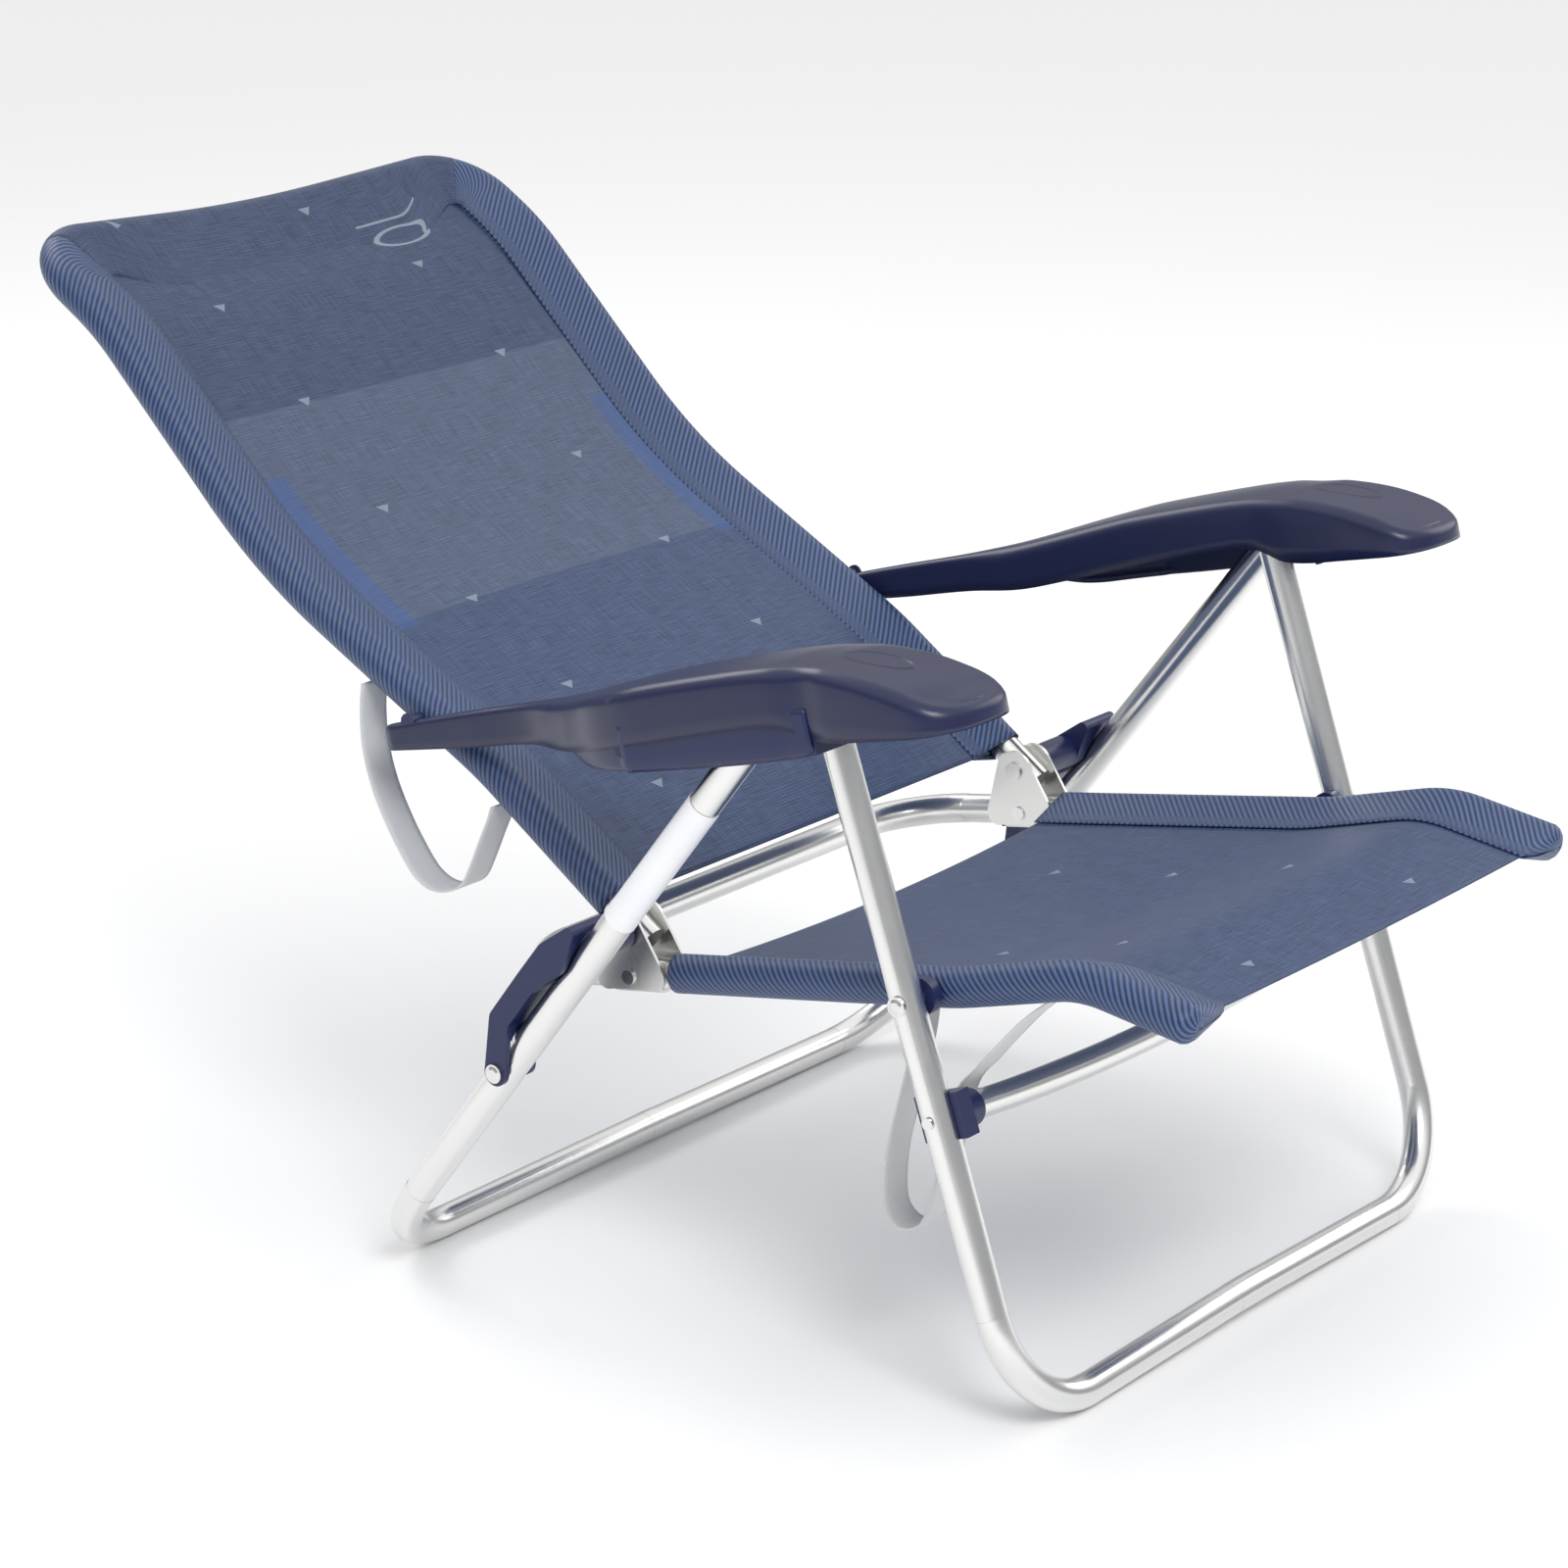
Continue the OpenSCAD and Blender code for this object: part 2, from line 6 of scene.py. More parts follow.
import bmesh
import bpy
import numpy as np
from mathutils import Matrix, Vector


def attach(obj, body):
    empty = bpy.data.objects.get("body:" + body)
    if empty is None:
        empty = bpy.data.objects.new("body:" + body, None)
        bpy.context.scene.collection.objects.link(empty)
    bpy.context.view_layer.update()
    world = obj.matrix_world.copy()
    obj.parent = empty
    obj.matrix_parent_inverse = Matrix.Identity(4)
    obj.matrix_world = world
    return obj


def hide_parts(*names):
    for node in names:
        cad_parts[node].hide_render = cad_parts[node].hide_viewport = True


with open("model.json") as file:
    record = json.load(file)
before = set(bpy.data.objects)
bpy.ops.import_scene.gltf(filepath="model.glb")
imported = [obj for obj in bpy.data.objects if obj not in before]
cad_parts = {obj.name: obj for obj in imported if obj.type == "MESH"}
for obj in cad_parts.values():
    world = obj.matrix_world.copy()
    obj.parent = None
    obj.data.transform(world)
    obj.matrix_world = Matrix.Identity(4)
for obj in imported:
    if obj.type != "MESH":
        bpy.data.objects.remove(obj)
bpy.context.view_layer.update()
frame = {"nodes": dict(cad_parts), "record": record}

# ---------------------------------------------------------------- layout, metres, row frame
RAIL_X = 0.225
HINGE = np.array([-0.0637, 0.264])
ARM = np.array([0.1103, 0.378])
TOP = np.array([-0.2427, 0.468])
ARM_ANGLE = math.atan2(TOP[1] - ARM[1], ARM[0] - TOP[0])
CLOTH_T = 0.0009
PATH_STEP = 0.005
SLEEVE_R = 0.0127
SLEEVE_REACH = 0.040
SLEEVE_GAP = 0.0008
HEAD_REACH = 0.072
HEAD_GAP = -0.0012
FIELD_HALF = 0.205
FIELD_COLUMNS = 60
STRAP_WIDTH = 0.026
STRAP_T = 0.0013


def along(p, deg, d):
    """The point at distance d from p, deg degrees above +Y in the side view."""
    a = math.radians(deg)
    return np.array([p[0] + d * math.cos(a), p[1] + d * math.sin(a)])


def bent(points, radii, step=0.006):
    """Dense points along a path whose corners are rounded with the given radii."""
    points = [np.array(p, float) for p in points]
    out = [points[0]]
    for i in range(1, len(points) - 1):
        d1 = points[i] - points[i - 1]
        d2 = points[i + 1] - points[i]
        d1, d2 = d1 / np.linalg.norm(d1), d2 / np.linalg.norm(d2)
        ang = math.acos(max(-1.0, min(1.0, float(d1 @ d2))))
        n = d2 - d1 * float(d1 @ d2)
        if ang < 1e-4 or np.linalg.norm(n) < 1e-9:
            out.append(points[i])
            continue
        n = n / np.linalg.norm(n)
        cut = radii[i] * math.tan(ang / 2)
        k = max(3, int(math.ceil(radii[i] * ang / step)))
        for j in range(k + 1):
            w = ang * j / k
            out.append(
                points[i] - d1 * cut + n * radii[i] * (1 - math.cos(w)) + d1 * radii[i] * math.sin(w)
            )
    out.append(points[-1])
    dense = [out[0]]
    for q in out[1:]:
        gap = float(np.linalg.norm(q - dense[-1]))
        if gap < 1e-7:
            continue
        m = max(1, int(math.ceil(gap / step)))
        a = dense[-1]
        dense += [a + (q - a) * (j + 1) / m for j in range(m)]
    return np.array(dense)


def arc_lengths(p):
    return np.concatenate([[0], np.cumsum(np.linalg.norm(np.diff(p, axis=0), axis=1))])


def tangents(p):
    t = np.gradient(p, axis=0)
    return t / np.linalg.norm(t, axis=1)[:, None]


# ---------------------------------------------------------------- materials
def new_material(name):
    m = bpy.data.materials.new(name)
    m.use_nodes = True
    t = m.node_tree
    return m, t, t.nodes["Principled BSDF"]


class Graph:
    """Short spellings for shader nodes."""

    def __init__(self, tree):
        self.t = tree

    def _put(self, socket, value):
        if isinstance(value, bpy.types.NodeSocket):
            self.t.links.new(value, socket)
        else:
            socket.default_value = value

    def math(self, op, a, b=0.0, c=None):
        n = self.t.nodes.new("ShaderNodeMath")
        n.operation = op
        self._put(n.inputs[0], a)
        self._put(n.inputs[1], b)
        if c is not None:
            self._put(n.inputs[2], c)
        return n.outputs[0]

    def mix(self, f, a, b):
        n = self.t.nodes.new("ShaderNodeMix")
        n.data_type = "RGBA"
        self._put(n.inputs["Factor"], f)
        self._put(n.inputs[6], a)
        self._put(n.inputs[7], b)
        return n.outputs[2]

    def noise(self, vector, scale, detail=3.0, rough=0.5):
        n = self.t.nodes.new("ShaderNodeTexNoise")
        self._put(n.inputs["Vector"], vector)
        n.inputs["Scale"].default_value = scale
        n.inputs["Detail"].default_value = detail
        n.inputs["Roughness"].default_value = rough
        return n.outputs[0]

    def scaled(self, vector, xyz):
        n = self.t.nodes.new("ShaderNodeVectorMath")
        n.operation = "MULTIPLY"
        self._put(n.inputs[0], vector)
        n.inputs[1].default_value = xyz
        return n.outputs[0]

    def band(self, v, lo, hi, soft=0.001):
        """1 where lo < v < hi, with soft edges."""
        a = self.t.nodes.new("ShaderNodeMapRange")
        a.interpolation_type = "SMOOTHSTEP"
        self._put(a.inputs[0], v)
        a.inputs[1].default_value = lo - soft
        a.inputs[2].default_value = lo + soft
        b = self.t.nodes.new("ShaderNodeMapRange")
        b.interpolation_type = "SMOOTHSTEP"
        self._put(b.inputs[0], v)
        b.inputs[1].default_value = hi - soft
        b.inputs[2].default_value = hi + soft
        b.inputs[3].default_value = 1.0
        b.inputs[4].default_value = 0.0
        return self.math("MULTIPLY", a.outputs[0], b.outputs[0])

    def bump(self, height, distance, strength=1.0):
        n = self.t.nodes.new("ShaderNodeBump")
        n.inputs["Strength"].default_value = strength
        n.inputs["Distance"].default_value = distance
        self._put(n.inputs["Height"], height)
        return n.outputs[0]


def cloth_uv(t):
    """The UV map "mm" as a vector, and its two distances in metres."""
    uv = t.nodes.new("ShaderNodeUVMap")
    uv.uv_map = "mm"
    sep = t.nodes.new("ShaderNodeSeparateXYZ")
    t.links.new(uv.outputs[0], sep.inputs[0])
    return uv.outputs[0], sep.outputs[0], sep.outputs[1]


def metal(name, colour, rough, streak=0.0):
    m, t, b = new_material(name)
    g = Graph(t)
    co = t.nodes.new("ShaderNodeTexCoord").outputs["Object"]
    b.inputs["Base Color"].default_value = (*colour, 1)
    b.inputs["Metallic"].default_value = 1.0
    fine = g.noise(co, 900.0, 2.0)
    wide = g.noise(co, 22.0, 3.0)
    r = g.math("MULTIPLY_ADD", fine, streak, rough - streak / 2)
    r = g.math("MULTIPLY_ADD", wide, 0.08, g.math("SUBTRACT", r, 0.04))
    t.links.new(r, b.inputs["Roughness"])
    t.links.new(g.bump(fine, 0.00002, 0.35), b.inputs["Normal"])
    return m


def plastic(name, colour, rough, grain=0.00003, coat=0.0):
    m, t, b = new_material(name)
    g = Graph(t)
    co = t.nodes.new("ShaderNodeTexCoord").outputs["Object"]
    b.inputs["Base Color"].default_value = (*colour, 1)
    b.inputs["Roughness"].default_value = rough
    b.inputs["IOR"].default_value = 1.48
    b.inputs["Coat Weight"].default_value = coat
    b.inputs["Coat Roughness"].default_value = 0.2
    n = g.noise(co, 1400.0, 2.0)
    t.links.new(g.bump(n, grain, 0.5), b.inputs["Normal"])
    return m


ALU = metal("aluminium", (0.80, 0.80, 0.79), 0.24, 0.10)
PLATE = metal("pressed_plate", (0.78, 0.78, 0.76), 0.30, 0.08)
STEEL = metal("zinc_steel", (0.74, 0.74, 0.73), 0.22, 0.05)
NAVY = plastic("navy_plastic", (0.012, 0.018, 0.075), 0.34)
ARM_NAVY = plastic("armrest_navy", (0.011, 0.015, 0.058), 0.31, 0.00002)


def webbing_material():
    m, t, b = new_material("grey_webbing")
    g = Graph(t)
    _, u, v = cloth_uv(t)
    ribs = g.math("SINE", g.math("MULTIPLY", u, 2 * math.pi / 0.0021))
    rows = g.math("SINE", g.math("MULTIPLY", v, 2 * math.pi / 0.0016))
    h = g.math("ADD", g.math("MULTIPLY", ribs, 0.5), g.math("MULTIPLY", rows, 0.3))
    b.inputs["Base Color"].default_value = (0.66, 0.67, 0.68, 1)
    b.inputs["Roughness"].default_value = 0.75
    b.inputs["Sheen Weight"].default_value = 0.2
    t.links.new(g.bump(h, 0.0002, 0.6), b.inputs["Normal"])
    return m


def label_material():
    m, t, b = new_material("plain_label")
    g = Graph(t)
    co = t.nodes.new("ShaderNodeTexCoord").outputs["Object"]
    n = g.noise(co, 30.0, 1.0)
    t.links.new(g.mix(n, (0.84, 0.86, 0.90, 1), (0.90, 0.90, 0.92, 1)), b.inputs["Base Color"])
    b.inputs["Roughness"].default_value = 0.35
    return m


WEB = webbing_material()
LABEL = label_material()


def fabric(name, zones, marks, strips=(), sleeve=None, emblem=None):
    """Coated mesh weave. The UV map "mm" holds distance across (u) and along (v) in metres."""
    m, t, b = new_material(name)
    g = Graph(t)
    uv, u, v = cloth_uv(t)
    tau = 2 * math.pi
    if sleeve:
        diag = g.math("ADD", g.math("MULTIPLY", u, tau / 0.0058), g.math("MULTIPLY", v, tau / 0.0047))
        stripe = g.math("SINE", diag)
        twill = g.math("MULTIPLY_ADD", stripe, 0.5, 0.5)
        fine = g.math("SINE", g.math("MULTIPLY", v, tau / 0.0011))
        height = g.math("ADD", g.math("MULTIPLY", twill, 0.8), g.math("MULTIPLY", fine, 0.1))
        colour = g.mix(twill, sleeve[0], sleeve[1])
        dots = g.math("MULTIPLY_ADD", fine, 0.5, 0.5)
        colour = g.mix(g.math("MULTIPLY", dots, 0.25), colour, sleeve[0])
        edge = g.band(u, 0.0012, 0.0115, 0.0008)
        colour = g.mix(g.math("MULTIPLY", edge, 0.8), colour, sleeve[2])
        depth = 0.0005
    else:
        rib = g.math("SINE", g.math("MULTIPLY", v, tau / 0.0024))
        yarn = g.math("SINE", g.math("MULTIPLY", u, tau / 0.0031))
        lift = g.math("MULTIPLY_ADD", rib, 0.5, 0.5)
        height = g.math("ADD", g.math("MULTIPLY", lift, 0.7), g.math("MULTIPLY", yarn, 0.18))
        colour = zones[0][2]
        for lo, hi, c in zones[1:]:
            colour = g.mix(g.band(v, lo, hi, 0.0012), colour, c)
        thread = g.noise(g.scaled(uv, (45.0, 900.0, 1.0)), 1.0, 2.0)
        cross = g.noise(g.scaled(uv, (900.0, 30.0, 1.0)), 1.0, 2.0)
        mottle = g.math("ADD", g.math("MULTIPLY", thread, 0.55), g.math("MULTIPLY", cross, 0.45))
        light = g.mix(0.26, colour, (0.20, 0.31, 0.54, 1))
        dark = g.mix(0.50, colour, (0.003, 0.006, 0.022, 1))
        colour = g.mix(g.math("MULTIPLY_ADD", mottle, 2.6, -0.86), dark, light)
        colour = g.mix(g.math("MULTIPLY", lift, 0.35), colour, dark)
        for u0, u1, v0, v1, c in strips:
            inside = g.math("MULTIPLY", g.band(u, u0, u1, 0.0012), g.band(v, v0, v1, 0.0012))
            colour = g.mix(g.math("MULTIPLY", inside, 0.5), colour, c)
        for mu, mv in marks:
            du = g.math("ABSOLUTE", g.math("SUBTRACT", u, mu))
            dv = g.math("SUBTRACT", v, mv)
            half = g.math("MULTIPLY_ADD", dv, 0.85, 0.0032)
            inside = g.math("LESS_THAN", du, half)
            inside = g.math("MULTIPLY", inside, g.math("LESS_THAN", g.math("ABSOLUTE", dv), 0.0034))
            colour = g.mix(g.math("MULTIPLY", inside, 0.7), colour, (0.25, 0.30, 0.38, 1))
        if emblem:
            eu, ev = emblem
            du = g.math("DIVIDE", g.math("SUBTRACT", u, eu), 0.030)
            dv = g.math("DIVIDE", g.math("SUBTRACT", v, ev), 0.0105)
            d = g.math("SQRT", g.math("ADD", g.math("MULTIPLY", du, du), g.math("MULTIPLY", dv, dv)))
            ring = g.band(d, 0.80, 1.0, 0.03)
            bar = g.math("MULTIPLY", g.band(u, eu - 0.036, eu + 0.036, 0.0004),
                         g.band(v, ev + 0.0165, ev + 0.0185, 0.0004))
            colour = g.mix(g.math("MULTIPLY", g.math("MAXIMUM", ring, bar), 0.8), colour,
                           (0.26, 0.31, 0.38, 1))
        depth = 0.00028
    t.links.new(colour, b.inputs["Base Color"])
    t.links.new(g.bump(height, depth, 0.8), b.inputs["Normal"])
    b.inputs["Roughness"].default_value = 0.40 if sleeve else 0.52
    b.inputs["Specular IOR Level"].default_value = 0.5
    b.inputs["Sheen Weight"].default_value = 0.06
    return m


DEEP = (0.009, 0.026, 0.088, 1)
MID = (0.012, 0.036, 0.122, 1)
LIGHT = (0.058, 0.084, 0.155, 1)
BLUE = (0.018, 0.075, 0.27, 1)

# ---------------------------------------------------------------- mesh helpers
def grid_mesh(name, rows, uvs, material, body, closed=False, smooth=True):
    """Mesh from rows of points with a UV for each point. closed is not used."""
    n, m = len(rows), len(rows[0])
    verts = [tuple(map(float, q)) for row in rows for q in row]
    faces, loops = [], []
    for i in range(n - 1):
        for j in range(m - 1):
            quad = [(i, j), (i, j + 1), (i + 1, j + 1), (i + 1, j)]
            faces.append([a * m + c for a, c in quad])
            loops += [tuple(map(float, uvs[a][c])) for a, c in quad]
    mesh = bpy.data.meshes.new(name)
    mesh.from_pydata(verts, [], faces)
    layer = mesh.uv_layers.new(name="mm")
    layer.data.foreach_set("uv", [x for uv in loops for x in uv])
    mesh.polygons.foreach_set("use_smooth", [smooth] * len(faces))
    mesh.materials.append(material)
    o = bpy.data.objects.new(name, mesh)
    bpy.context.scene.collection.objects.link(o)
    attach(o, body)
    return o


def thicken(o, amount, offset=0.0):
    s = o.modifiers.new("cloth", "SOLIDIFY")
    s.thickness = amount
    s.offset = offset
    s.use_even_offset = True
    return s


def teardrop(radius, reach, gap, n=26, runs=7):
    """Section of a sleeve pulled over a tube, from the seam on top round to the seam below.

    Each point is (inwards, up, distance round).
    """
    ang = math.acos(radius / reach)
    pts = [(reach, gap)]
    for k in range(n + 1):
        w = ang + (2 * math.pi - 2 * ang) * k / n
        pts.append((radius * math.cos(w), radius * math.sin(w)))
    pts.append((reach, -gap))
    # fill the straight runs
    full = []
    for (a, c) in zip(pts[:-1], pts[1:]):
        k = runs if math.hypot(c[0] - a[0], c[1] - a[1]) > 0.006 or a[0] == reach or c[0] == reach else 1
        full += [(a[0] + (c[0] - a[0]) * j / k, a[1] + (c[1] - a[1]) * j / k) for j in range(k)]
    full.append(pts[-1])
    out, s = [], 0.0
    for i, q in enumerate(full):
        if i:
            s += math.hypot(q[0] - full[i - 1][0], q[1] - full[i - 1][1])
        out.append((q[0], q[1], s))
    return out


def sleeve_rows(path, normals, section, close_start=False, close_end=False):
    """Rows of a sleeve along a path. section is one list, or a function of the point.

    A closed end draws in to the tube's axis.
    """
    t = tangents(path)
    s = arc_lengths(path)
    rows, uvs = [], []

    def row(p, d, n, q, k=1.0):
        n = n - d * float(n @ d)
        n = n / np.linalg.norm(n)
        inward = np.cross(d, n)
        sec = section(p) if callable(section) else section
        rows.append([p + inward * (a * k) + n * (c * k) for a, c, _ in sec])
        uvs.append([(w, q) for _, _, w in sec])

    draw = ((0.0085, 0.03), (0.0078, 0.35), (0.0058, 0.68), (0.003, 0.90))
    if close_start:
        for out, k in draw:
            row(path[0] - t[0] * out, t[0], normals[0], s[0] - out, k)
    for p, d, n, q in zip(path, t, normals, s):
        row(p, d, n, q)
    if close_end:
        for out, k in draw[::-1]:
            row(path[-1] + t[-1] * out, t[-1], normals[-1], s[-1] + out, k)
    return rows, uvs


# ---------------------------------------------------------------- back sling
def side(p, x):
    return [np.array([x, q[0], q[1]]) for q in p]


low = along(HINGE, 35, 0.021)
back_rail = [low, np.array([0.0593, 0.351]), np.array([0.2563, 0.460]), np.array([0.4043, 0.608]),
             np.array([0.4763, 0.653])]
back_bends = [0, 0.300, 0.430, 0.200, 0.046]
profile_bends = [*back_bends[:-1], 0]
HEAD_BOW = 0.016
head_mid = back_rail[4] + np.array([HEAD_BOW * 0.53, -HEAD_BOW * 0.85])
left = side(back_rail, -RAIL_X)
right = side(back_rail, RAIL_X)[::-1]
back_path = bent([*left, np.array([0.0, *head_mid]), *right],
                 [*back_bends, 1.2, *back_bends[::-1]], PATH_STEP)
# the direction that faces the sitter, at each point of the path
d_last = (back_rail[4] - back_rail[3]) / np.linalg.norm(back_rail[4] - back_rail[3])
head_normal = np.array([0.0, -d_last[1], d_last[0]])
tang = tangents(back_path)
normals = []
for p, d in zip(back_path, tang):
    share = min(1.0, abs(p[0]) / RAIL_X)
    if share > 0.999:
        sign = -1.0 if d[2] < 0 or (d[1] < 0) else 1.0
        normals.append(np.array([0.0, -d[2] * sign, d[1] * sign]))
    else:
        normals.append(head_normal)
SLEEVE_LIGHT = (0.074, 0.138, 0.320, 1)
SLEEVE_DARK = (0.004, 0.011, 0.045, 1)
SLEEVE_PLAIN = (0.040, 0.068, 0.150, 1)
SLEEVE = fabric("sling_sleeve", None, (), sleeve=(SLEEVE_DARK, SLEEVE_LIGHT, SLEEVE_PLAIN))
section = teardrop(SLEEVE_R, SLEEVE_REACH, SLEEVE_GAP)


def head_section(p):
    """The sleeve's section, with a deeper hem along the middle of the head."""
    w = min(1.0, max(0.0, (abs(p[0]) - 0.120) / 0.062))
    w = w * w * (3 - 2 * w)
    return teardrop(SLEEVE_R, HEAD_REACH + (SLEEVE_REACH - HEAD_REACH) * w,
                    HEAD_GAP + (SLEEVE_GAP - HEAD_GAP) * w)


all_rows, all_uvs = sleeve_rows(back_path, normals, head_section)
profile = bent(back_rail, profile_bends, PATH_STEP)
back_len = float(arc_lengths(profile)[-1])
CUT = 0.207
ids = [i for i, q in enumerate(back_path) if abs(q[0]) <= CUT]
first, last = ids[0], ids[-1]
for name, part in (("back_sleeve_right", slice(0, first + 1)),
                   ("back_sleeve_left", slice(last, len(back_path)))):
    o = grid_mesh(name, all_rows[part], all_uvs[part], SLEEVE, "backrest")
    thicken(o, CLOTH_T)


def field_rows(profile, lift_at):
    """Rows of a sling between its sleeves.

    lift_at gives the height of its middle for a share of the length.
    """
    rows, uvs = [], []
    distance = arc_lengths(profile)
    for p, d, s in zip(profile, tangents(profile), distance):
        lift = lift_at(s / distance[-1])
        n = np.array([-d[1], d[0]])
        row, uv = [], []
        for j in range(FIELD_COLUMNS + 1):
            x = -1 + 2 * j / FIELD_COLUMNS
            q = p + n * lift * (1 - x * x)
            row.append((x * FIELD_HALF, q[0], q[1]))
            uv.append((x * FIELD_HALF, s))
        rows.append(row)
        uvs.append(uv)
    return rows, uvs


def back_lift(f):
    """A slight crown over the lower 70 percent, then down to the bowed head tube."""
    if f < 0.7:
        return 0.005 * math.sin(math.pi * min(1.0, f / 0.7))
    return -HEAD_BOW * ((f - 0.7) / 0.3) ** 1.5


rows, uvs = field_rows(profile, back_lift)
back_marks = [(-0.108, 0.071), (-0.104, 0.170), (0.108, 0.169), (-0.104, 0.268), (0.110, 0.268),
              (-0.102, 0.367), (0.111, 0.367), (-0.101, 0.467), (0.112, 0.467), (-0.113, 0.559),
              (0.099, 0.559), (-0.150, 0.634), (0.040, 0.634)]
BACK = fabric(
    "sling_back",
    [(0, 1, MID), (0.268, 0.467, LIGHT), (0.467, 1.0, DEEP)],
    back_marks,
    strips=[(-0.185, -0.166, 0.262, 0.414, BLUE), (0.166, 0.185, 0.262, 0.414, BLUE)],
    emblem=(0.110, 0.592),
)
head_seam = back_len - 0.071
head_uvs = [[(float(q[0]), head_seam + w) for q, (w, _) in zip(r, uv)]
            for r, uv in zip(all_rows[first:last + 1], all_uvs[first:last + 1])]
head_wrap = grid_mesh("back_head_wrap", all_rows[first:last + 1], head_uvs, BACK, "backrest")
thicken(head_wrap, CLOTH_T)
back_field = grid_mesh("back_field", rows, uvs, BACK, "backrest")
thicken(back_field, CLOTH_T)
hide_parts("back_sling")

# ---------------------------------------------------------------- seat sling
seat_rear = np.array([0.0443, 0.213])
pivot = np.array([-0.3107, 0.274])
tilt = math.degrees(math.atan2(pivot[1] - seat_rear[1], seat_rear[0] - pivot[0]))
nose = np.array([-0.4867, 0.291])
knee = np.array([-0.4167, 0.302])
nose = nose + (nose - knee) / np.linalg.norm(nose - knee) * 0.007
seat_rail = [nose, knee, along(pivot, 180 - tilt, 0.013), along(seat_rear, 180 - tilt, 0.147)]
seat_bends = [0, 0.090, 0.240, 0]
for name, sx in (("seat_sleeve_right", -1), ("seat_sleeve_left", 1)):
    path = bent(side(seat_rail, RAIL_X * sx), seat_bends, PATH_STEP)
    if sx > 0:
        path = path[::-1]
    t = tangents(path)
    ns = [np.array([0.0, -d[2], d[1]]) * (1 if d[1] > 0 else -1) for d in t]
    # inwards is cross(t, n): the path runs to the back on the right and to the front on the left
    rows, uvs = sleeve_rows(path, ns, section, close_start=sx < 0, close_end=sx > 0)
    o = grid_mesh(name, rows, uvs, SLEEVE, "seat")
    thicken(o, CLOTH_T)


def seat_lift(f):
    """The seat sags towards its rear."""
    return -0.007 * min(1.0, 0.35 + f * 1.2)


profile = bent(seat_rail, seat_bends, PATH_STEP)
rows, uvs = field_rows(profile, seat_lift)
seat_marks = [(0.074, 0.305), (0.077, 0.210), (0.081, 0.119), (0.089, 0.028), (-0.134, 0.202),
              (-0.118, 0.119), (-0.115, 0.025)]
SEAT = fabric("sling_seat", [(0, 1, MID)], seat_marks)
seat_field = grid_mesh("seat_field", rows, uvs, SEAT, "seat")
thicken(seat_field, CLOTH_T)
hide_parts("seat_sling")

# ---------------------------------------------------------------- straps
def strap(name, body, points, x0, node):
    """A webbing loop along points in the side view, with its right-hand edge at x0."""
    x1 = x0 + STRAP_WIDTH
    line = np.array(points)
    # a smooth curve through the points
    fine = []
    for i in range(len(line) - 1):
        p0, p1, p2, p3 = (line[max(0, i - 1)], line[i], line[i + 1], line[min(len(line) - 1, i + 2)])
        for k in range(6):
            w = k / 6
            fine.append(0.5 * (2 * p1 + (p2 - p0) * w + (2 * p0 - 5 * p1 + 4 * p2 - p3) * w * w
                               + (3 * p1 - p0 - 3 * p2 + p3) * w ** 3))
    fine.append(line[-1])
    fine = np.array(fine)
    s = arc_lengths(fine)
    rows, uvs = [], []
    for p, q in zip(fine, s):
        rows.append([(x0 + (x1 - x0) * j / 6, p[0], p[1]) for j in range(7)])
        uvs.append([(STRAP_WIDTH * j / 6, q) for j in range(7)])
    o = grid_mesh(name, rows, uvs, WEB, body)
    thicken(o, STRAP_T)
    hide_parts(node)


def shifted(pts):
    """Points drawn in millimetres, before the origin was moved under the middle of the chair."""
    return [(y / 1000 - 0.1017, z / 1000) for y, z in pts]


strap("carry_strap_seat", "seat",
      shifted([(-292, 283), (-272, 266), (-252, 244), (-236, 225), (-221, 206), (-212, 170),
               (-203, 130), (-196, 112), (-188, 105), (-177, 103), (-168, 110), (-165, 124),
               (-167, 150), (-174, 180), (-182, 210), (-188, 237), (-190, 256)]),
      -RAIL_X, "seat_strap")
strap("carry_strap_back", "backrest",
      shifted([(266, 392), (268, 370), (266, 344), (258, 318), (244, 292), (228, 270), (218, 261), (206, 257),
               (192, 259), (180, 266), (172, 280), (163, 300), (156, 315), (152, 326)]),
      -RAIL_X - 0.012, "back_strap")

# ---------------------------------------------------------------- armrests
def catmull(xs, ys, x):
    """The height at x of a smooth curve through the points (xs, ys)."""
    i = max(0, min(len(xs) - 2, int(np.searchsorted(xs, x) - 1)))
    h = xs[i + 1] - xs[i]
    w = (x - xs[i]) / h

    def slope(k):
        if k == 0:
            return (ys[1] - ys[0]) / (xs[1] - xs[0])
        if k == len(xs) - 1:
            return (ys[-1] - ys[-2]) / (xs[-1] - xs[-2])
        return (ys[k + 1] - ys[k - 1]) / (xs[k + 1] - xs[k - 1])

    m0, m1 = slope(i) * h, slope(i + 1) * h
    return (ys[i] * (2 * w**3 - 3 * w**2 + 1) + m0 * (w**3 - 2 * w**2 + w)
            + ys[i + 1] * (-2 * w**3 + 3 * w**2) + m1 * (w**3 - w**2))


# distance forward from the rear rivet, inner x, outer x, low z, high z, millimetres
ARM_PLAN = [
    (-24, 239, 252, -18, -1), (50, 239, 252.5, -21, 2.5), (110, 239, 256, -22, 4.5),
    (157, 238.5, 277, -25, 7), (205, 238, 304, -22, 12), (236, 237.5, 313.5, -19.5, 15.5),
    (262, 237, 316, -18, 18), (330, 236, 318, -14.5, 21), (366, 235, 317, -15, 21),
    (389, 233, 313.5, -25, 19), (408, 232, 317, -28, 16.5), (440, 231, 319, -29, 8),
    (470, 232, 318, -30, -4), (498, 234, 312, -31, -17)]


